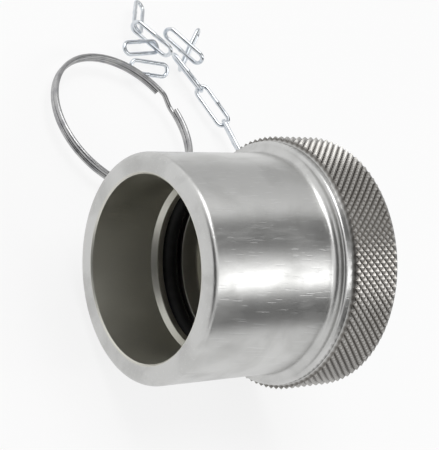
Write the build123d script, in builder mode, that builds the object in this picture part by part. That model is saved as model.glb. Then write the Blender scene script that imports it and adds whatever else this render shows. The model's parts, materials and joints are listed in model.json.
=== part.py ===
"""Knurled aluminium protection cap with an O-ring, a captive chain and a split ring.

The cap lies on its side, as it rests on a bench: on the rim of its mouth and the front
edge of its knurl. The origin is the centre of the mouth. +X runs from the mouth towards
the closed head, seen from above, +Z is up, and +Y is the side on which the chain lies.
Distances called "along" are measured on the cap's own axis, from the mouth inwards.
"""

import os
from math import asin, atan2, cos, degrees, hypot, radians, sin

from build123d import *

# ---------------------------------------------------------------- driving dimensions (mm)
# cap, outside
cap_length = 60.0
skirt_radius = 31.25
mouth_edge_round = 1.7
neck_along = 39.0            # where the skirt ends and the neck sweeps up to the collar
neck_fillet = 2.2
collar_radius = 34.6
collar_edge_round = 1.1
knurl_radius = 36.1
knurl_along = 44.2           # front edge of the knurl
knurl_front_bevel = 0.7      # along the axis
head_edge_bevel = 1.2

# cap, inside
bore_radius = 25.35
bore_depth = 20.4
bore_edge_bevel = 0.4
land_radius = 24.0
land_lead = 1.2              # along the axis, from the bore down to the land
land_width = 2.0
throat_radius = 23.9         # wall beyond the seal
throat_end_along = 36.5
thread_minor_radius = 21.4
thread_major_radius = 22.5
thread_lead = 1.5
thread_end_along = 50.5
thread_relief_width = 3.0
thread_relief_depth = 0.3    # beyond the thread's major radius
end_wall = 6.0

# seal
seal_section = 5.33
seal_stand_proud = 0.55      # how far the seal stands out of its groove, past the land
seal_groove_width = 6.8
seal_groove_clearance = 0.02

# eye that holds the chain, screwed into the middle of the head
eye_wire = 2.0
eye_inner_radius = 2.6
eye_shank_diameter = 4.0
eye_shank_depth = 4.0
eye_shank_clearance = 0.05
eye_neck_length = 0.6
eye_hole_depth = 4.6

# chain
link_wire = 1.4
link_length = 17.4           # outside
link_width = 5.6             # outside
hanging_links = 3
hang_spread = 12.0           # change of slope from one hanging link to the next (degrees)
hang_heading = 45.0
lying_headings = (66.0, 82.0, 92.0, 98.0, 111.0, 115.0)
lying_roll = 45.0

# split ring
ring_wire = 1.6
ring_mean_radius = 25.8
ring_turn_gap = 0.1          # between the two turns
ring_gap_angle = 19.0        # where only the crossing strand is left

# ---------------------------------------------------------------- worked-out sizes
land_along = bore_depth + land_lead
groove_along = land_along + land_width
groove_end_along = groove_along + seal_groove_width
seal_inner_radius = land_radius - seal_stand_proud
seal_mean_radius = seal_inner_radius + seal_section / 2
groove_radius = seal_inner_radius + seal_section + seal_groove_clearance
cavity_end_along = cap_length - end_wall
relief_radius = thread_major_radius + thread_relief_depth

# The cap leans on a line that touches the rounded mouth rim and the knurl's front edge.
rim_to_knurl_along = knurl_along - mouth_edge_round
rim_to_knurl_radial = knurl_radius - (skirt_radius - mouth_edge_round)
rest_tilt = degrees(
    atan2(rim_to_knurl_radial, rim_to_knurl_along)
    - asin(mouth_edge_round / hypot(rim_to_knurl_along, rim_to_knurl_radial))
)
floor_height = knurl_along * sin(radians(rest_tilt)) - knurl_radius * cos(radians(rest_tilt))

# Local X of this plane runs along the cap's axis and local Y is the radius.
section_plane = Plane(Location((0, 0, 0), (90, -rest_tilt, 0), Extrinsic.XYZ))
cap_axis = Axis((0, 0, 0), section_plane.x_dir)


def on_axis(along):
    """Point on the cap's axis."""
    return section_plane.from_local_coords(Vector(along, 0, 0))


# ---------------------------------------------------------------- cap
collar_front_along = neck_along + neck_fillet

with BuildPart() as cap_body:
    with BuildSketch(section_plane) as cap_section:
        with BuildLine():
            Polyline(
                (0, bore_radius + bore_edge_bevel),
                (0, skirt_radius),
                (collar_front_along, skirt_radius),
                (collar_front_along, collar_radius),
                (knurl_along - knurl_front_bevel, collar_radius),
                (knurl_along, knurl_radius),
                (cap_length - head_edge_bevel, knurl_radius),
                (cap_length, knurl_radius - head_edge_bevel),
                (cap_length, 0),
                (cavity_end_along, 0),
                (cavity_end_along, relief_radius),
                (cavity_end_along - thread_relief_width, relief_radius),
                (cavity_end_along - thread_relief_width, thread_minor_radius),
                (throat_end_along + thread_lead, thread_minor_radius),
                (throat_end_along, thread_minor_radius + thread_lead),
                (throat_end_along, throat_radius),
                (groove_end_along, throat_radius),
                (groove_end_along, groove_radius),
                (groove_along, groove_radius),
                (groove_along, land_radius),
                (land_along, land_radius),
                (bore_depth, bore_radius),
                (bore_edge_bevel, bore_radius),
                close=True,
            )
        make_face()
        for along, radius, rounding in (
            (0, skirt_radius, mouth_edge_round),
            (collar_front_along, skirt_radius, neck_fillet),
            (collar_front_along, collar_radius, collar_edge_round),
        ):
            corner = cap_section.vertices().sort_by_distance((along, radius, 0))[0]
            fillet(corner, radius=rounding)
    revolve(axis=cap_axis)
    with BuildSketch(Plane(on_axis(cap_length), z_dir=cap_axis.direction)):
        Circle(eye_shank_diameter / 2 + eye_shank_clearance)
    extrude(amount=-eye_hole_depth, mode=Mode.SUBTRACT)

# ---------------------------------------------------------------- seal
with BuildPart() as o_ring:
    with BuildSketch(section_plane):
        with Locations(((groove_along + groove_end_along) / 2, seal_mean_radius)):
            Circle(seal_section / 2)
    revolve(axis=cap_axis)

# ---------------------------------------------------------------- chain eye
eye_radius = eye_inner_radius + eye_wire / 2
eye_centre_along = cap_length + eye_neck_length + eye_radius
eye_centre = on_axis(eye_centre_along)

with BuildPart() as chain_eye:
    with BuildSketch(Plane(on_axis(cap_length - eye_shank_depth), z_dir=cap_axis.direction)):
        Circle(eye_shank_diameter / 2)
    extrude(amount=eye_shank_depth + eye_neck_length)
    with BuildLine(section_plane):
        eye_path = CenterArc((eye_centre_along, 0), eye_radius, 180, 360)
    with BuildSketch(Plane(eye_path @ 0, z_dir=eye_path % 0)):
        Circle(eye_wire / 2)
    sweep(path=eye_path)


# ---------------------------------------------------------------- chain
link_pitch = link_length - 2 * link_wire
bend_radius = (link_width - link_wire) / 2
straight_half = link_length / 2 - link_wire / 2 - bend_radius


def link_direction(heading, rise):
    """Unit vector along a link that points to a compass heading and climbs at a rise."""
    level = cos(radians(rise))
    return Vector(
        level * cos(radians(heading)), level * sin(radians(heading)), sin(radians(rise))
    )


def make_link(centre, heading, rise, roll):
    """Welded long link: round wire bent to two half circles joined by straight limbs."""
    place = Plane(Location(centre, (roll, -rise, heading), Extrinsic.XYZ))
    with BuildPart() as link:
        with BuildLine(place) as wire:
            Line((-straight_half, -bend_radius), (straight_half, -bend_radius))
            CenterArc((straight_half, 0), bend_radius, -90, 180)
            Line((straight_half, bend_radius), (-straight_half, bend_radius))
            CenterArc((-straight_half, 0), bend_radius, 90, 180)
        with BuildSketch(Plane(wire.line @ 0, z_dir=wire.line % 0)):
            Circle(link_wire / 2)
        sweep(path=wire.line)
    return link.part


# The first links hang from the eye in a slack curve, down to where the chain lies.
lying_height = floor_height + link_wire / 2 + bend_radius * sin(radians(lying_roll))
hang_pull = link_direction(hang_heading, -70.0)
eye_pull = Vector(hang_pull.X, 0, hang_pull.Z).normalized()
link_end = eye_centre + eye_pull * (eye_radius - (eye_wire + link_wire) / 2)
hang_start = link_end + hang_pull * (link_wire / 2)
hang_drop = hang_start.Z - lying_height
hang_slope = degrees(
    asin(hang_drop / (link_pitch * (hanging_links - 2 + 2 * cos(radians(hang_spread)))))
)

chain_end = hang_start
chain = []
for number in range(hanging_links):
    slope = -hang_slope + hang_spread * (number - 1)
    step = link_direction(hang_heading, slope) * link_pitch
    roll = 0.0 if number % 2 == 0 else 90.0
    chain.append(make_link(chain_end + step / 2, hang_heading, slope, roll))
    chain_end += step

for number, heading in enumerate(lying_headings):
    step = link_direction(heading, 0) * link_pitch
    roll = lying_roll if number % 2 else -lying_roll
    chain.append(make_link(chain_end + step / 2, heading, 0, roll))
    chain_end += step

# ---------------------------------------------------------------- heap of links
# Centre of each link from the end of the run, in pitches along X and Y and in wire
# diameters above the floor, then its heading, rise and roll.
heap = (
    (0.55, 0.25, 1.9, 60, 35, 60),
    (0.10, 0.10, 4.6, -53, 5, 90),
    (-0.70, 1.05, 1.6, 61, -5, 20),
    (-0.70, 0.30, 3.0, -50, 5, 90),
    (-1.00, 0.10, 1.5, 12, 0, 20),
    (-1.00, -0.50, 1.5, 0, 0, 40),
)
for east, north, wires_up, heading, rise, roll in heap:
    centre = Vector(
        chain_end.X + east * link_pitch,
        chain_end.Y + north * link_pitch,
        floor_height + wires_up * link_wire,
    )
    chain.append(make_link(centre, heading, rise, roll))

# ---------------------------------------------------------------- split ring
ring_centre = Vector(42.2, 71.1, 0)
ring_turn_pitch = ring_wire + ring_turn_gap
ring_tilt = 1.5
ring_low_direction = 210.0
ring_plane = Plane(
    Location(
        (
            ring_centre.X,
            ring_centre.Y,
            floor_height + ring_wire / 2 + ring_mean_radius * sin(radians(ring_tilt)),
        ),
        (0, 0, 0),
    )
)
upper_start = 17.0

with BuildPart() as split_ring:
    with BuildLine() as coil:
        upper_plane = ring_plane.offset(ring_turn_pitch)
        sweep_angle = ring_gap_angle - 360.0
        with BuildLine(upper_plane):
            upper_turn = CenterArc((0, 0), ring_mean_radius, upper_start, sweep_angle)
        with BuildLine(ring_plane):
            lower_turn = CenterArc((0, 0), ring_mean_radius, upper_start, sweep_angle)
        ramp_lead = ring_mean_radius * radians(ring_gap_angle) / 4
        FilletPolyline(
            upper_turn @ 1,
            (upper_turn @ 1) + (upper_turn % 1) * ramp_lead,
            (lower_turn @ 0) - (lower_turn % 0) * ramp_lead,
            lower_turn @ 0,
            radius=5.0,
        )
    with BuildSketch(Plane(upper_turn @ 0, z_dir=upper_turn % 0)):
        Circle(ring_wire / 2)
    sweep(path=coil.line)

# ---------------------------------------------------------------- labels and files
cap_body.part.label = "cap_body"
o_ring.part.label = "o_ring"
chain_eye.part.label = "chain_eye"
split_ring.part.label = "split_ring"
for number, link in enumerate(chain, start=1):
    link.label = f"chain_link_{number:02d}"

os.makedirs("parts", exist_ok=True)
for piece in (cap_body.part, o_ring.part, chain_eye.part, *chain, split_ring.part):
    export_step(piece, f"parts/{piece.label}.step")
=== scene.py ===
"""Knurled aluminium protection cap with its seal, chain and split ring: the finished look.

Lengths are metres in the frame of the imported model. The cap's own drawing frame has X along
its axis, from the mouth inwards, and the radius across it; a matrix tilts it onto the bench.
"""

import json
import logging
import math
from dataclasses import dataclass, field
from enum import Enum, IntEnum
from typing import Any, Iterable, Mapping, Optional, Sequence, Union

import bmesh
import bpy
import numpy as np
from mathutils import Matrix, Vector


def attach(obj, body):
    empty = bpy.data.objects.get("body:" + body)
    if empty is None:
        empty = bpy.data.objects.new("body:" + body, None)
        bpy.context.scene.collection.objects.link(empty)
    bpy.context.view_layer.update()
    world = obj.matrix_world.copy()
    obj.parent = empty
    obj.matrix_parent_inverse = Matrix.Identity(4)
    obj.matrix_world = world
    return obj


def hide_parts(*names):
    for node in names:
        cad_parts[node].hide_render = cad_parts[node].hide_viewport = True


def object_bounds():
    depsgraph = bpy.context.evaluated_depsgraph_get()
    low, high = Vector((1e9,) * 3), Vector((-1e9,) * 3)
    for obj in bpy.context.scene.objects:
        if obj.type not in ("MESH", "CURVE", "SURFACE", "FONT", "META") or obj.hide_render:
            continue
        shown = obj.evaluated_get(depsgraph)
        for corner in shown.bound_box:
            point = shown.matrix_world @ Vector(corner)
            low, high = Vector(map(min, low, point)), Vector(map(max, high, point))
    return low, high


MM = 0.001
SAME_POINT = 0.001 * MM
LOG = logging.getLogger("protection_cap")

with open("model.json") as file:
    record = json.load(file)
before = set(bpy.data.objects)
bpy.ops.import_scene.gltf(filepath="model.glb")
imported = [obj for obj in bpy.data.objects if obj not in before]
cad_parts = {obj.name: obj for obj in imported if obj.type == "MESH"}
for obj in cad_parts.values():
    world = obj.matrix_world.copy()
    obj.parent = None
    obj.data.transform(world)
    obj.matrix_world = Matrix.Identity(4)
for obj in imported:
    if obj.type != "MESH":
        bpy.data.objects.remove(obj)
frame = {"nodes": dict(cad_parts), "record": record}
CAD_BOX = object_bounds()
MOUNTS = {mount["name"]: mount for mount in frame["record"]["mounts"]}

Place = tuple[float, float, float]
Colour = tuple[float, float, float, float]
Section = list[Union[bmesh.types.BMVert, bmesh.types.BMEdge]]
Input = Union["Signal", float, Sequence[float]]


class Slot(Enum):
    """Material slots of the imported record."""

    ALUMINIUM = "turned_aluminium"
    RUBBER = "seal_rubber"
    PLATED = "plated_steel"


class MixSocket(IntEnum):
    """Numbers of a Mix node's sockets for colours, whose names it shares with other kinds."""

    FACTOR = 0
    LOW = 6
    HIGH = 7
    RESULT = 2


def grey(value: float) -> Colour:
    """A neutral colour."""
    return (value, value, value, 1.0)


# ------------------------------------------------------------------ shader building blocks
class Signal:
    """A socket's output, on which Python's arithmetic adds Math nodes."""

    def __init__(self, tree: "ShaderTree", socket: bpy.types.NodeSocket) -> None:
        """Keeps the tree that the socket belongs to, and the socket."""
        self.tree = tree
        self.socket = socket

    def __add__(self, other: Input) -> "Signal":
        """self + other."""
        return self.tree.math("ADD", self, other)

    def __radd__(self, other: Input) -> "Signal":
        """other + self."""
        return self.tree.math("ADD", other, self)

    def __sub__(self, other: Input) -> "Signal":
        """self - other."""
        return self.tree.math("SUBTRACT", self, other)

    def __rsub__(self, other: Input) -> "Signal":
        """other - self."""
        return self.tree.math("SUBTRACT", other, self)

    def __mul__(self, other: Input) -> "Signal":
        """self * other."""
        return self.tree.math("MULTIPLY", self, other)

    def __rmul__(self, other: Input) -> "Signal":
        """other * self."""
        return self.tree.math("MULTIPLY", other, self)

    def __pow__(self, other: Input) -> "Signal":
        """self ** other."""
        return self.tree.math("POWER", self, other)

    def __rpow__(self, other: Input) -> "Signal":
        """other ** self."""
        return self.tree.math("POWER", other, self)

    def step(self, low: float, high: float) -> "Signal":
        """Smooth rise from 0 at low to 1 at high, or a fall where low is above high."""
        return self.tree.read(
            "ShaderNodeMapRange",
            {"interpolation_type": "SMOOTHSTEP"},
            {"Value": self, "From Min": low, "From Max": high},
        )


class ShaderTree:
    """The node tree of a material or of the surroundings, with one method that adds any node."""

    def __init__(self, owner: Union[bpy.types.Material, bpy.types.World]) -> None:
        """Keeps the material or the surroundings, with its node tree emptied."""
        self.owner = owner
        owner.use_nodes = True
        owner.node_tree.nodes.clear()

    def add(
        self,
        kind: str,
        settings: Optional[Mapping[str, Any]] = None,
        sockets: Optional[Mapping[Union[str, int], Input]] = None,
    ) -> bpy.types.Node:
        """Adds a node.

        Args:
            kind: The node's type.
            settings: Its settings, set first.
            sockets: Values or signals of its inputs, by name or number.

        Returns:
            The node.
        """
        node = self.owner.node_tree.nodes.new(kind)
        for key, value in (settings or {}).items():
            setattr(node, key, value)
        for key, value in (sockets or {}).items():
            if isinstance(value, Signal):
                self.owner.node_tree.links.new(value.socket, node.inputs[key])
            else:
                node.inputs[key].default_value = value
        return node

    def read(
        self,
        kind: str,
        settings: Optional[Mapping[str, Any]] = None,
        sockets: Optional[Mapping[Union[str, int], Input]] = None,
        output: Union[str, int] = 0,
    ) -> Signal:
        """Adds a node as add does, and returns one of its outputs."""
        return Signal(self, self.add(kind, settings, sockets).outputs[output])

    def math(self, operation: str, *values: Input) -> Signal:
        """Adds one Math node on values or signals, in the order of its inputs."""
        return self.read("ShaderNodeMath", {"operation": operation}, dict(enumerate(values)))

    def place(
        self, turn: Sequence[float] = (0, 0, 0), stretch: Sequence[float] = (1, 1, 1)
    ) -> Signal:
        """Object coordinates, turned and stretched by a Mapping node."""
        here = self.read("ShaderNodeTexCoord", output="Object")
        return self.read(
            "ShaderNodeMapping", {}, {"Vector": here, "Rotation": turn, "Scale": stretch}
        )

    def axes(self, where: Signal) -> list[Signal]:
        """The X, Y and Z of a place."""
        split = self.add("ShaderNodeSeparateXYZ", {}, {"Vector": where})
        return [Signal(self, socket) for socket in split.outputs]

    def noise(self, where: Signal, scale: float, detail: float, **sockets: Input) -> Signal:
        """Noise texture's value at a place, at a scale in cells per metre."""
        known = {"Vector": where, "Scale": scale, "Detail": detail}
        return self.read("ShaderNodeTexNoise", {}, {**known, **sockets})

    def lines(self, position: Signal, scale: float, detail: float) -> Signal:
        """Noise that changes with one length alone, at a scale in lines per metre."""
        return self.read(
            "ShaderNodeTexNoise",
            {"noise_dimensions": "1D"},
            {"W": position, "Scale": scale, "Detail": detail},
        )

    def blend(self, factor: Input, low: Input, high: Input) -> Signal:
        """Mixes two colours: low at factor 0, and high at factor 1."""
        return self.read(
            "ShaderNodeMix",
            {"data_type": "RGBA", "blend_type": "MIX"},
            {MixSocket.FACTOR: factor, MixSocket.LOW: low, MixSocket.HIGH: high},
            output=MixSocket.RESULT,
        )

    def bump(self, height: Signal, distance: float, **sockets: Input) -> Signal:
        """Bump from a height between 0 and 1 that stands for a distance in metres."""
        return self.read("ShaderNodeBump", {}, {"Height": height, "Distance": distance, **sockets})

    def seen_directly(self) -> Signal:
        """1 for what the camera, a mirror or glass shows, and 0 for the light that is given."""
        path = self.add("ShaderNodeLightPath")
        camera, mirror, glass = (
            Signal(self, path.outputs[name])
            for name in ("Is Camera Ray", "Is Glossy Ray", "Is Transmission Ray")
        )
        return self.math("MAXIMUM", self.math("MAXIMUM", camera, mirror), glass)

    def close(self, surface: Signal) -> bpy.types.Material:
        """Adds a material's output and returns the material."""
        self.add("ShaderNodeOutputMaterial", {}, {"Surface": surface})
        return self.owner

    def finish(self, **sockets: Input) -> bpy.types.Material:
        """Adds the Principled shader and the output.

        Args:
            sockets: Values or signals of the shader's inputs, with _ for each space.

        Returns:
            The finished material.
        """
        named = {name.replace("_", " "): value for name, value in sockets.items()}
        return self.close(self.read("ShaderNodeBsdfPrincipled", {}, named))


def material_tree(name: str) -> ShaderTree:
    """The empty tree of a new material."""
    return ShaderTree(bpy.data.materials.new(name))


# ------------------------------------------------------------------ finishes
@dataclass(frozen=True)
class TurnedAluminium:
    """Bare machined aluminium: turning lines, handling marks, dull bore, and painted shade on the
    knurl, darkest in its grooves.

    Scales are cells or lines per metre, and depths are metres.
    """

    tilt: float
    knurl_along: float
    knurl_radius: float
    knurl_depth: float
    bore_radius: float
    bright: Colour = (0.60, 0.60, 0.59, 1.0)
    marked: Colour = (0.47, 0.47, 0.46, 1.0)
    scratched: Colour = (0.75, 0.75, 0.75, 1.0)
    bore_grey: Colour = (0.68, 0.67, 0.61, 1.0)
    # Painted shade: a darker grey for the whole knurled band, for the shade that falls on its
    # facets.
    knurl_painted_shade: Colour = (0.44, 0.43, 0.41, 1.0)
    # Painted shade: near-black for the sunk grooves between the knurl's diamonds.
    groove_painted_shade: Colour = (0.12, 0.11, 0.10, 1.0)
    face_feed: float = 1.31
    fine_lines: float = 9000.0
    coarse_lines: float = 1100.0
    patch_cells: float = 70.0
    smear_cells: float = 60.0
    smear_turn: tuple[float, float] = (0.4, 0.5)
    smear_stretch: Place = (1, 5, 2)
    scratch_turns: tuple[Place, ...] = ((0.3, 0.2, 0.6), (1.1, 0.4, -0.5), (0.1, 1.2, 1.4))
    scratch_seeds: tuple[float, ...] = (0.0, 0.3, 0.7)
    scratch_stretch: Place = (14, 500, 500)
    scratch_cells: float = 4.0
    bore_fade: tuple[float, float] = (0.9 * MM, 0.2 * MM)
    knurl_fade: tuple[float, float] = (-0.8 * MM, -0.2 * MM)
    polish: float = 0.24
    line_depth: float = 0.012 * MM
    dent_depth: float = 0.06 * MM
    scratch_depth: float = 0.01 * MM

    def material(self) -> bpy.types.Material:
        """Builds the node material.

        Returns:
            The material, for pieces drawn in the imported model's frame.
        """
        tree = material_tree("turned_aluminium_finish")
        local = tree.place(turn=(0, self.tilt, 0))
        along, across, upward = tree.axes(local)
        radius = (across * across + upward * upward) ** 0.5

        # Tool marks are rings: they change along the axis on a wall and with radius on a face.
        tool_path = along + radius * self.face_feed
        fine = tree.lines(tool_path, self.fine_lines, 2.0)
        coarse = tree.lines(tool_path, self.coarse_lines, 1.0)
        patches = tree.noise(local, self.patch_cells, 4.0, Distortion=0.6)
        lean, swing = self.smear_turn
        smear_place = tree.place(turn=(lean, self.tilt, swing), stretch=self.smear_stretch)
        smears = tree.noise(smear_place, self.smear_cells, 3.0)
        scratches = self._scratches(tree)

        fade_start, fade_end = self.bore_fade
        inside = radius.step(self.bore_radius + fade_start, self.bore_radius + fade_end)
        fade_start, fade_end = self.knurl_fade
        on_knurl = along.step(self.knurl_along + fade_start, self.knurl_along + fade_end)
        # Painted shade: marks the sunk grooves of the knurl, which are coloured near-black where
        # shade falls in the hollows.
        groove_shade_mask = on_knurl * radius.step(
            self.knurl_radius - 0.1 * self.knurl_depth, self.knurl_radius - self.knurl_depth
        )
        colour = tree.blend(patches.step(0.42, 0.68) * 0.7, self.bright, self.marked)
        colour = tree.blend(smears.step(0.55, 0.75) * 0.35, colour, self.marked)
        colour = tree.blend(scratches * 0.25, colour, self.scratched)
        colour = tree.blend(inside * (0.75 + fine * 0.4), colour, self.bore_grey)
        # Painted shade: the knurled band is blended to a darker grey than the smooth skirt.
        colour = tree.blend(on_knurl * (0.6 + patches * 0.6), colour, self.knurl_painted_shade)
        # Painted shade: the knurl's sunk grooves are blended to near-black.
        colour = tree.blend(groove_shade_mask * (0.7 + patches * 0.4), colour, self.groove_painted_shade)
        lines = tree.bump(fine * 0.6 + coarse * 0.4, self.line_depth)
        dents = tree.bump(patches, self.dent_depth, Normal=lines)
        return tree.finish(
            Base_Color=colour,
            Metallic=1.0,
            Roughness=self.polish + patches * 0.14 + smears.step(0.5, 0.8) * 0.1 + inside * 0.08,
            Normal=tree.bump(1 - scratches, self.scratch_depth, Normal=dents),
        )

    def _scratches(self, tree: ShaderTree) -> Signal:
        """Fine straight scratches in three directions.

        Args:
            tree: The material's tree.

        Returns:
            1 on a scratch and 0 beside it.
        """
        first, second, third = (
            tree.read(
                "ShaderNodeTexNoise",
                {"noise_dimensions": "4D"},
                {
                    "Vector": tree.place(turn=turn, stretch=self.scratch_stretch),
                    "W": seed,
                    "Scale": self.scratch_cells,
                    "Detail": 0.0,
                },
            ).step(0.73, 0.78)
            for turn, seed in zip(self.scratch_turns, self.scratch_seeds)
        )
        return tree.math("MAXIMUM", tree.math("MAXIMUM", first, second), third)


@dataclass(frozen=True)
class SealRubber:
    """Matte black nitrile rubber with a faint bloom and a fine moulded skin."""

    black: Colour = (0.006, 0.006, 0.007, 1.0)
    bloom: Colour = (0.024, 0.024, 0.025, 1.0)
    dust_cells: float = 160.0
    skin_cells: float = 5200.0
    skin_depth: float = 0.02 * MM

    def material(self) -> bpy.types.Material:
        """Builds the node material.

        Returns:
            The material.
        """
        tree = material_tree("seal_rubber_finish")
        local = tree.place()
        dust = tree.noise(local, self.dust_cells, 5.0)
        skin = tree.noise(local, self.skin_cells, 2.0)
        return tree.finish(
            Base_Color=tree.blend(dust.step(0.5, 0.75) * 0.6, self.black, self.bloom),
            Roughness=0.46 + dust * 0.22,
            Specular_IOR_Level=0.3,
            Normal=tree.bump(skin, self.skin_depth),
        )


@dataclass(frozen=True)
class DrawnSteel:
    """Drawn steel wire: bright zinc plate on the chain, or plain hardened steel on the ring."""

    name: str
    base: Colour
    shade: Colour
    roughness: float
    ripple: float
    cloud_cells: float = 260.0
    grain_cells: float = 2600.0
    pit_cells: float = 900.0
    grain_depth: float = 0.012 * MM

    def material(self) -> bpy.types.Material:
        """Builds the node material.

        Returns:
            The material.
        """
        tree = material_tree(self.name)
        local = tree.place()
        cloud = tree.noise(local, self.cloud_cells, 4.0)
        grain = tree.noise(local, self.grain_cells, 3.0)
        pits = tree.read("ShaderNodeTexVoronoi", {}, {"Vector": local, "Scale": self.pit_cells})
        spots = pits.step(0.16, 0.06) * cloud.step(0.45, 0.6)
        colour = tree.blend(cloud.step(0.38, 0.7), self.base, self.shade)
        return tree.finish(
            Base_Color=tree.blend(spots * 0.5, colour, self.shade),
            Metallic=1.0,
            Roughness=self.roughness + grain * 0.12 + spots * 0.1,
            Normal=tree.bump(grain, self.grain_depth, Normal=tree.bump(cloud, self.ripple)),
        )


# ------------------------------------------------------------------ mesh building blocks
def spin(
    shape: bmesh.types.BMesh,
    geometry: Iterable[Union[bmesh.types.BMVert, bmesh.types.BMEdge, bmesh.types.BMFace]],
    centre: Sequence[float],
    axis: Sequence[float],
    angle: float,
    steps: int,
    climb: Sequence[float] = (0, 0, 0),
) -> Section:
    """Spins vertices, edges and faces about an axis.

    Args:
        shape: The mesh they are in.
        geometry: The vertices, edges and faces.
        centre: A point on the axis.
        axis: The axis' direction.
        angle: How far they turn.
        steps: How many steps they turn in.
        climb: How far they move along, in all.

    Returns:
        The geometry at the last step.
    """
    made = bmesh.ops.spin(
        shape,
        geom=list(geometry),
        cent=centre,
        axis=axis,
        dvec=[length / steps for length in climb],
        angle=angle,
        steps=steps,
        use_merge=math.isclose(abs(angle), math.tau) and not any(climb),
        use_duplicate=False,
    )
    return made["geom_last"]


def ring_section(
    shape: bmesh.types.BMesh, place: Matrix, radius: float, sides: int
) -> Section:
    """Adds the round section of a wire.

    Args:
        shape: The mesh that it is added to.
        place: The section's frame, with Z along the wire.
        radius: Its radius.
        sides: How many sides it has.

    Returns:
        Its vertices and the edges that join them.
    """
    made = bmesh.ops.create_circle(
        shape, cap_ends=False, radius=radius, segments=sides, matrix=place
    )
    edges = {edge for vertex in made["verts"] for edge in vertex.link_edges}
    return [*made["verts"], *edges]


def draw_on(shape: bmesh.types.BMesh, section: Section, move: Sequence[float]) -> Section:
    """Extrudes an open section.

    Args:
        shape: The mesh that it is in.
        section: Its vertices and edges.
        move: How far it is drawn, and which way.

    Returns:
        The section at the far end.
    """
    edges = [item for item in section if isinstance(item, bmesh.types.BMEdge)]
    made = bmesh.ops.extrude_edge_only(shape, edges=edges)["geom"]
    far = [item for item in made if isinstance(item, bmesh.types.BMVert)]
    bmesh.ops.translate(shape, verts=far, vec=move)
    ring = set(far)
    far_edges = [
        item for item in made if isinstance(item, bmesh.types.BMEdge) and set(item.verts) <= ring
    ]
    return [*far, *far_edges]


def scale_section(shape: bmesh.types.BMesh, section: Section, factor: float) -> None:
    """Scales a section about its own middle.

    Args:
        shape: The mesh that it is in.
        section: Its vertices and edges.
        factor: How many times as wide it becomes.
    """
    points = [item for item in section if isinstance(item, bmesh.types.BMVert)]
    middle = sum((point.co for point in points), Vector()) / len(points)
    bmesh.ops.scale(
        shape, verts=points, vec=(factor, factor, factor), space=Matrix.Translation(-middle)
    )


def settle(
    shape: bmesh.types.BMesh,
    name: str,
    place: Matrix,
    finish: bpy.types.Material,
    nodes: Sequence[str] = (),
    crease: float = 35.0,
) -> bpy.types.Object:
    """Turns a mesh into a finished piece that rides on the root body.

    Args:
        shape: The mesh in its own drawing frame; it is freed.
        name: The piece's name.
        place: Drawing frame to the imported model's frame.
        finish: Its material.
        nodes: The CAD nodes that it stands for.
        crease: Edges sharper than this many degrees stay sharp.

    Returns:
        The piece.
    """
    bmesh.ops.remove_doubles(shape, verts=shape.verts, dist=SAME_POINT)
    bmesh.ops.transform(shape, matrix=place, verts=shape.verts)
    bmesh.ops.recalc_face_normals(shape, faces=shape.faces)
    open_edges = sum(1 for edge in shape.edges if not edge.is_manifold)
    mesh = bpy.data.meshes.new(name)
    shape.to_mesh(mesh)
    shape.free()
    mesh.shade_smooth()
    mesh.set_sharp_from_angle(angle=math.radians(crease))
    mesh.materials.append(finish)
    piece = bpy.data.objects.new(name, mesh)
    bpy.context.scene.collection.objects.link(piece)
    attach(piece, "root")
    if nodes:
        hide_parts(*nodes)
    LOG.info("%s: %d faces, %d open edges", name, len(mesh.polygons), open_edges)
    return piece


def node_frame(node: str) -> Matrix:
    """Frame of a CAD node from its own surface.

    Args:
        node: The node's name.

    Returns:
        The matrix whose X is the node's longest way and Z its shortest, at its middle.
    """
    mesh = frame["nodes"][node].data
    centres = np.empty(len(mesh.polygons) * 3)
    areas = np.empty(len(mesh.polygons))
    mesh.polygons.foreach_get("center", centres)
    mesh.polygons.foreach_get("area", areas)
    centres = centres.reshape(-1, 3)
    middle = np.average(centres, axis=0, weights=areas)
    spread = np.cov((centres - middle).T, aweights=areas)
    _, ways = np.linalg.eigh(spread)
    longest, shortest = Vector(ways[:, 2]), Vector(ways[:, 0])
    if shortest.z < 0:
        shortest.negate()
    turned = Matrix((longest, shortest.cross(longest), shortest)).transposed().to_4x4()
    return Matrix.Translation(Vector(middle)) @ turned


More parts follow.
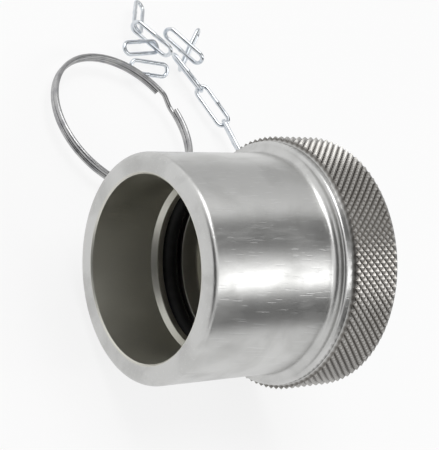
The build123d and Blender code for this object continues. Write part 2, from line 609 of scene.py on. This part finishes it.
# ------------------------------------------------------------------ cap
@dataclass
class KnurledCap:
    """The turned cap: smooth skirt, neck, collar, knurled head and bored inside."""

    length: float = 60.0 * MM
    skirt_radius: float = 31.25 * MM
    mouth_edge_round: float = 1.7 * MM
    neck_along: float = 39.0 * MM
    neck_fillet: float = 2.2 * MM
    collar_radius: float = 34.6 * MM
    collar_edge_round: float = 1.1 * MM
    knurl_radius: float = 36.1 * MM
    knurl_along: float = 44.2 * MM
    knurl_front_bevel: float = 0.7 * MM
    knurl_depth: float = 0.78 * MM
    knurl_teeth: int = 100
    knurl_rows: int = 13
    knurl_land: float = 0.13 * MM
    knurl_crease: float = 28.0
    head_edge_bevel: float = 1.2 * MM
    bore_radius: float = 25.35 * MM
    bore_depth: float = 20.4 * MM
    bore_edge_bevel: float = 0.4 * MM
    bore_end_round: float = 0.05 * MM
    land_radius: float = 24.0 * MM
    land_lead: float = 1.2 * MM
    land_lead_round: float = 0.1 * MM
    land_width: float = 2.0 * MM
    groove_width: float = 6.8 * MM
    groove_radius: float = 28.8 * MM
    groove_edge_round: float = 0.15 * MM
    groove_floor_round: float = 0.3 * MM
    throat_radius: float = 23.9 * MM
    throat_end: float = 36.5 * MM
    thread_minor_radius: float = 21.4 * MM
    thread_major_radius: float = 22.5 * MM
    thread_root_overlap: float = 0.05 * MM
    thread_pitch: float = 2.0 * MM
    thread_lead: float = 1.5 * MM
    thread_steps: int = 96
    relief_radius: float = 22.8 * MM
    relief_width: float = 3.0 * MM
    end_wall: float = 6.0 * MM
    eye_hole_radius: float = 2.05 * MM
    eye_hole_bevel: float = 0.2 * MM
    eye_hole_depth: float = 4.6 * MM
    large_round: float = 0.5 * MM
    large_round_steps: int = 10
    small_round_steps: int = 3

    def __post_init__(self) -> None:
        """Reads the cap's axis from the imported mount, which points out of the mouth."""
        outward = Vector(MOUNTS["spigot_bore"]["axis"])
        self.tilt = math.atan2(-outward.z, -outward.x)
        self.place = Matrix.Rotation(-self.tilt, 4, "Y")

    @property
    def steps(self) -> int:
        """Steps round the cap: two to each knurl tooth."""
        return 2 * self.knurl_teeth

    @property
    def groove_along(self) -> float:
        """Where the seal's groove begins."""
        return self.bore_depth + self.land_lead + self.land_width

    @property
    def relief_along(self) -> float:
        """Where the relief behind the thread begins."""
        return self.length - self.end_wall - self.relief_width

    def finish(self) -> bpy.types.Material:
        """The cap's aluminium."""
        return TurnedAluminium(
            tilt=self.tilt,
            knurl_along=self.knurl_along,
            knurl_radius=self.knurl_radius,
            knurl_depth=self.knurl_depth,
            bore_radius=self.bore_radius,
        ).material()

    def corners(self) -> list[tuple[float, float, float]]:
        """Corners of half the cap's section, from the bottom of its cavity to its eye hole.

        Returns:
            For each corner, its place along the axis, its radius and its rounding.
        """
        cavity_end = self.length - self.end_wall
        thread_start = self.throat_end + self.thread_lead
        groove_end = self.groove_along + self.groove_width
        land_along = self.bore_depth + self.land_lead
        collar_along = self.neck_along + self.neck_fillet
        hole_end = self.length - self.eye_hole_depth
        return [
            (cavity_end, 0, 0),
            (cavity_end, self.relief_radius, 0),
            (self.relief_along, self.relief_radius, 0),
            (self.relief_along, self.thread_major_radius, 0),
            (thread_start, self.thread_major_radius, 0),
            (thread_start, self.thread_minor_radius, 0),
            (self.throat_end, self.thread_minor_radius + self.thread_lead, 0),
            (self.throat_end, self.throat_radius, 0),
            (groove_end, self.throat_radius, self.groove_edge_round),
            (groove_end, self.groove_radius, self.groove_floor_round),
            (self.groove_along, self.groove_radius, self.groove_floor_round),
            (self.groove_along, self.land_radius, self.groove_edge_round),
            (land_along, self.land_radius, self.land_lead_round),
            (self.bore_depth, self.bore_radius, self.bore_end_round),
            (self.bore_edge_bevel, self.bore_radius, 0),
            (0, self.bore_radius + self.bore_edge_bevel, 0),
            (0, self.skirt_radius, self.mouth_edge_round),
            (collar_along, self.skirt_radius, self.neck_fillet),
            (collar_along, self.collar_radius, self.collar_edge_round),
            (self.knurl_along - self.knurl_front_bevel, self.collar_radius, 0),
            (self.knurl_along, self.knurl_radius, 0),
            (self.length - self.head_edge_bevel, self.knurl_radius, 0),
            (self.length, self.knurl_radius - self.head_edge_bevel, 0),
            (self.length, self.eye_hole_radius + self.eye_hole_bevel, 0),
            (self.length - self.eye_hole_bevel, self.eye_hole_radius, 0),
            (hole_end, self.eye_hole_radius, 0),
            (hole_end, 0, 0),
        ]

    def build(self) -> list[bpy.types.Object]:
        """Builds the cap and its thread.

        Returns:
            Both pieces.
        """
        finish = self.finish()
        shape = bmesh.new()
        points = [shape.verts.new((along, radius, 0)) for along, radius, _ in self.corners()]
        edges = [shape.edges.new(pair) for pair in zip(points, points[1:])]
        knurl_edge = max(edges, key=lambda edge: min(end.co.y for end in edge.verts))
        bmesh.ops.subdivide_edges(shape, edges=[knurl_edge], cuts=self.knurl_rows - 1)
        for along, radius, rounding in self.corners():
            if rounding:
                self._round(shape, Vector((along, radius, 0)), rounding)
        spin(shape, [*shape.verts, *shape.edges], (0, 0, 0), (1, 0, 0), math.tau, self.steps)
        bmesh.ops.remove_doubles(shape, verts=shape.verts, dist=SAME_POINT)
        self._cut_knurl(shape)
        cap = settle(
            shape,
            "knurled_cap",
            self.place,
            finish,
            ["cap_body"],
            self.knurl_crease,
        )
        return [cap, self._thread(finish)]

    def _round(self, shape: bmesh.types.BMesh, corner: Vector, rounding: float) -> None:
        """Rounds one corner of the open section.

        Args:
            shape: The section, a chain of edges.
            corner: Where the corner is.
            rounding: How far the round reaches along both edges.
        """
        large = rounding > self.large_round
        bmesh.ops.bevel(
            shape,
            geom=[min(shape.verts, key=lambda point: (point.co - corner).length)],
            offset=rounding,
            offset_type="OFFSET",
            segments=self.large_round_steps if large else self.small_round_steps,
            profile=0.5,
            affect="VERTICES",
            material=-1,
        )

    def _cut_knurl(self, shape: bmesh.types.BMesh) -> None:
        """Sinks every second point of the head's surface, so that the rest are diamond peaks.

        Args:
            shape: The whole cap, in its drawing frame.
        """
        row_pitch = (self.length - self.head_edge_bevel - self.knurl_along) / self.knurl_rows
        step = math.tau / self.steps
        sunk, peaks = [], []
        for vertex in shape.verts:
            along, radius = vertex.co.x, math.hypot(vertex.co.y, vertex.co.z)
            if radius < self.knurl_radius - SAME_POINT:
                continue
            row = round((along - self.knurl_along) / row_pitch)
            column = round(math.atan2(vertex.co.z, vertex.co.y) / step)
            (sunk if (row + column) % 2 else peaks).append(vertex)
        shrink = 1 - self.knurl_depth / self.knurl_radius
        bmesh.ops.scale(shape, verts=sunk, vec=(1, shrink, shrink))
        bmesh.ops.connect_verts(shape, verts=sunk)
        bmesh.ops.bevel(
            shape,
            geom=peaks,
            offset=self.knurl_land,
            offset_type="OFFSET",
            segments=1,
            profile=0.5,
            affect="VERTICES",
            material=-1,
        )

    def _thread(self, finish: bpy.types.Material) -> bpy.types.Object:
        """Builds the internal thread's ridge, wound along the threaded part of the bore.

        Args:
            finish: The cap's aluminium.

        Returns:
            The ridge.
        """
        start = self.throat_end + self.thread_lead
        turns = (self.relief_along - start - self.thread_pitch) / self.thread_pitch
        root = self.thread_major_radius + self.thread_root_overlap
        foot = self.thread_pitch * 7 / 16
        tip = self.thread_pitch / 8
        shape = bmesh.new()
        corners = [
            shape.verts.new((start + self.thread_pitch / 2 + x, radius, 0))
            for x, radius in (
                (-foot, root),
                (-tip, self.thread_minor_radius),
                (tip, self.thread_minor_radius),
                (foot, root),
            )
        ]
        section = shape.faces.new(corners)
        spin(
            shape,
            [section, *section.edges, *section.verts],
            (0, 0, 0),
            (1, 0, 0),
            math.tau * turns,
            round(self.thread_steps * turns),
            climb=(self.thread_pitch * turns, 0, 0),
        )
        return settle(shape, "thread_ridge", self.place, finish)


@dataclass
class SealRing:
    """The O-ring in the groove behind the bore."""

    section: float = 5.33 * MM
    stand_proud: float = 0.55 * MM
    sides: int = 40
    steps: int = 180

    def build(self, cap: KnurledCap) -> bpy.types.Object:
        """Builds the seal.

        Args:
            cap: The cap whose groove it lies in.

        Returns:
            The seal.
        """
        along = cap.groove_along + cap.groove_width / 2
        mean_radius = cap.land_radius - self.stand_proud + self.section / 2
        shape = bmesh.new()
        middle = Matrix.Translation((along, mean_radius, 0))
        section = ring_section(shape, middle, self.section / 2, self.sides)
        spin(shape, section, (0, 0, 0), (1, 0, 0), math.tau, self.steps)
        finish = SealRubber().material()
        return settle(shape, "seal_ring", cap.place, finish, ["o_ring"])


# ------------------------------------------------------------------ chain
@dataclass
class LinkShape:
    """A welded long link of round wire."""

    wire: float = 1.4 * MM
    length: float = 17.4 * MM
    width: float = 5.6 * MM
    sides: int = 18
    bend_steps: int = 18
    weld_length: float = 1.3 * MM
    weld_swell: float = 1.13
    weld_crown: float = 1.04

    def build(
        self, name: str, node: str, finish: bpy.types.Material, weld_first: bool
    ) -> bpy.types.Object:
        """Builds one link where its CAD node lies.

        Args:
            name: The piece's name.
            node: The CAD node.
            finish: The plated steel.
            weld_first: Which limb carries the weld.

        Returns:
            The link.
        """
        bend = (self.width - self.wire) / 2
        half = (self.length - self.wire) / 2 - bend
        shape = bmesh.new()
        start = Matrix.Translation((half, -bend, 0)) @ Matrix.Rotation(math.pi / 2, 4, "Y")
        section = ring_section(shape, start, self.wire / 2, self.sides)
        section = spin(shape, section, (half, 0, 0), (0, 0, 1), math.pi, self.bend_steps)
        section = self._limb(shape, section, -half * 2, weld_first)
        section = spin(shape, section, (-half, 0, 0), (0, 0, 1), math.pi, self.bend_steps)
        self._limb(shape, section, half * 2, not weld_first)
        return settle(shape, name, node_frame(node), finish, [node])

    def _limb(
        self, shape: bmesh.types.BMesh, section: Section, run: float, welded: bool
    ) -> Section:
        """Draws a straight limb on, with a swelling at its middle if it is welded.

        Args:
            shape: The link so far.
            section: Its open end.
            run: The limb's length, below zero where it runs back along X.
            welded: Whether it carries the weld.

        Returns:
            The limb's far end.
        """
        if not welded:
            return draw_on(shape, section, (run, 0, 0))
        swellings = (self.weld_swell, self.weld_crown, 1 / self.weld_crown, 1 / self.weld_swell)
        way = math.copysign(1.0, run)
        plain = way * (abs(run) - self.weld_length) / 2
        section = draw_on(shape, section, (plain, 0, 0))
        for factor in swellings:
            section = draw_on(shape, section, (way * self.weld_length / len(swellings), 0, 0))
            scale_section(shape, section, factor)
        return draw_on(shape, section, (plain, 0, 0))


@dataclass
class Chain:
    """The run of links from the head's eye to the split ring."""

    link: LinkShape = field(default_factory=LinkShape)

    def build(self, finish: bpy.types.Material) -> list[bpy.types.Object]:
        """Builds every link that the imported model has.

        Args:
            finish: The plated steel.

        Returns:
            The links, from the eye on.
        """
        nodes = sorted(name for name in frame["nodes"] if name.startswith("chain_link_"))
        return [
            self.link.build(
                node.replace("chain_link", "welded_link"), node, finish, number % 2 == 0
            )
            for number, node in enumerate(nodes)
        ]


def dress_node(node: str, finish: bpy.types.Material) -> None:
    """Gives a CAD node that stays its finish, without touching its mesh."""
    mesh = frame["nodes"][node].data
    mesh.materials.clear()
    mesh.materials.append(finish)
    LOG.info("%s: keeps its CAD mesh", node)


# ------------------------------------------------------------------ studio
def facing(place: Sequence[float], aim: Sequence[float], along: Sequence[float]) -> Matrix:
    """Frame of a lamp or card that looks at the object.

    Args:
        place: Where it stands.
        aim: The point that its -Z looks at.
        along: The way that its X lies, as near as it can.

    Returns:
        The frame.
    """
    back = (Vector(place) - Vector(aim)).normalized()
    upward = back.cross(Vector(along)).normalized()
    turned = Matrix((upward.cross(back), upward, back)).transposed().to_4x4()
    return Matrix.Translation(place) @ turned


def stage_grid(
    name: str, size: Sequence[float], place: Matrix, finish: bpy.types.Material
) -> bpy.types.Object:
    """Adds a flat oblong of the studio, which isn't part of the object.

    Args:
        name: Its name.
        size: Its length and width.
        place: Its frame, with Z across it.
        finish: Its material.

    Returns:
        The oblong.
    """
    length, width = size
    shape = bmesh.new()
    bmesh.ops.create_grid(shape, x_segments=1, y_segments=1, size=0.5)
    bmesh.ops.scale(shape, vec=(length, width, 1), verts=shape.verts)
    bmesh.ops.transform(shape, matrix=place, verts=shape.verts)
    mesh = bpy.data.meshes.new(name)
    shape.to_mesh(mesh)
    shape.free()
    mesh.materials.append(finish)
    oblong = bpy.data.objects.new(name, mesh)
    bpy.context.scene.collection.objects.link(oblong)
    return oblong


@dataclass(frozen=True)
class Softbox:
    """A long soft lamp."""

    name: str
    place: Place
    length: float
    width: float
    power: float

    def build(self, aim: Sequence[float], along: Sequence[float]) -> None:
        """Adds the lamp.

        Args:
            aim: The point that it lights.
            along: The way that it lies.
        """
        data = bpy.data.lights.new(self.name, "AREA")
        data.shape = "RECTANGLE"
        data.size, data.size_y, data.energy = self.length, self.width, self.power
        lamp = bpy.data.objects.new(self.name, data)
        lamp.matrix_world = facing(self.place, aim, along)
        bpy.context.scene.collection.objects.link(lamp)


@dataclass(frozen=True)
class MirrorCard:
    """A card that only mirrors see, as a side of a room in one plain tone, where 1 is white."""

    name: str
    place: Place
    length: float
    width: float
    tone: float

    def build(self, aim: Sequence[float], along: Sequence[float]) -> None:
        """Adds the card.

        Args:
            aim: The point that it is turned to.
            along: The way that it lies.
        """
        tree = material_tree(self.name)
        glow = tree.read("ShaderNodeEmission", {}, {"Color": grey(1.0), "Strength": self.tone})
        place = facing(self.place, aim, along)
        card = stage_grid(self.name, (self.length, self.width), place, tree.close(glow))
        card.visible_camera = False
        card.visible_diffuse = False
        card.visible_shadow = False


@dataclass
class Studio:
    """Pale bench, soft lamps, cards that the metal mirrors, and the camera."""

    bench_side: float = 8.0
    bench_gap: float = 0.01 * MM
    bench_colour: float = 0.9
    bench_glow: float = 0.8
    surround_light: float = 0.5
    aim: Place = (0.02, 0.0, 0.0)
    eye: Place = (-0.23713, -0.14305, 0.24063)
    forward: Place = (0.68679, 0.39951, -0.60722)
    upward: Place = (-0.03788, 0.85394, 0.51898)
    lens: float = 110.28
    nearest: float = 0.01
    farthest: float = 20.0
    lamps: tuple[Softbox, ...] = (
        Softbox("key_softbox", (0.504, -0.480, 0.565), length=1.1, width=0.19, power=1.35),
        Softbox("top_softbox", (-0.1, 0.35, 1.2), length=0.9, width=0.9, power=7.0),
    )
    cards: tuple[MirrorCard, ...] = (
        MirrorCard("gap_card", (0.482, -0.02, 0.762), length=1.5, width=0.52, tone=0.10),
        MirrorCard("side_card", (0.540, -0.668, 0.254), length=1.6, width=0.47, tone=0.10),
        MirrorCard("back_card", (0.52, 0.598, 0.424), length=1.6, width=0.85, tone=0.62),
        MirrorCard("camera_card", (-0.80, -0.35, 0.42), length=0.9, width=1.4, tone=0.05),
    )

    def build(self, along: Sequence[float]) -> None:
        """Builds the whole studio.

        Args:
            along: The cap's axis, along which the lamps and cards lie.
        """
        scene = bpy.context.scene
        scene.view_settings.view_transform = "Standard"
        self._camera(scene)
        self._surroundings(scene)
        self._bench()
        for item in (*self.lamps, *self.cards):
            item.build(self.aim, along)

    def _camera(self, scene: bpy.types.Scene) -> None:
        """Adds the camera.

        Args:
            scene: The scene that it serves.
        """
        data = bpy.data.cameras.new("bench_camera")
        data.lens = self.lens
        data.clip_start, data.clip_end = self.nearest, self.farthest
        camera = bpy.data.objects.new("bench_camera", data)
        back = -Vector(self.forward).normalized()
        across = Vector(self.upward).cross(back).normalized()
        turned = Matrix((across, back.cross(across), back)).transposed().to_4x4()
        camera.matrix_world = Matrix.Translation(self.eye) @ turned
        scene.collection.objects.link(camera)
        scene.camera = camera

    def _surroundings(self, scene: bpy.types.Scene) -> None:
        """Adds white surroundings for the camera and for mirrors, which light more softly.

        Args:
            scene: The scene that they surround.
        """
        scene.world = bpy.data.worlds.new("white_surroundings")
        tree = ShaderTree(scene.world)
        strength = self.surround_light + tree.seen_directly() * (1 - self.surround_light)
        white = tree.read("ShaderNodeBackground", {}, {"Color": grey(1.0), "Strength": strength})
        tree.add("ShaderNodeOutputWorld", {}, {"Surface": white})

    def _bench(self) -> None:
        """Adds the bench's white top, under the lowest point of the object."""
        tree = material_tree("white_bench")
        paint = tree.read("ShaderNodeBsdfDiffuse", {}, {"Color": grey(self.bench_colour)})
        glow = tree.read("ShaderNodeEmission", {}, {"Color": grey(1.0), "Strength": 1.0})
        share = tree.seen_directly() * self.bench_glow
        top = tree.read("ShaderNodeMixShader", {}, {0: share, 1: paint, 2: glow})
        place = Matrix.Translation((0, 0, CAD_BOX[0].z - self.bench_gap))
        stage_grid("bench_top", (self.bench_side, self.bench_side), place, tree.close(top))


def main() -> None:
    """Builds every piece, dresses the nodes that stay, and sets up the studio."""
    logging.basicConfig(level=logging.INFO, format="%(name)s: %(message)s")
    cap = KnurledCap()
    cap.build()
    SealRing().build(cap)
    zinc = DrawnSteel(
        "zinc_plate_finish",
        base=(0.74, 0.77, 0.80, 1.0),
        shade=(0.60, 0.64, 0.69, 1.0),
        roughness=0.16,
        ripple=0.04 * MM,
    ).material()
    spring = DrawnSteel(
        "spring_steel_finish",
        base=(0.46, 0.46, 0.46, 1.0),
        shade=(0.33, 0.33, 0.34, 1.0),
        roughness=0.24,
        ripple=0.02 * MM,
    ).material()
    Chain().build(zinc)
    dress_node("chain_eye", zinc)
    dress_node("split_ring", spring)
    Studio().build(cap.place.col[0].to_3d())


if __name__ == "__main__":
    main()
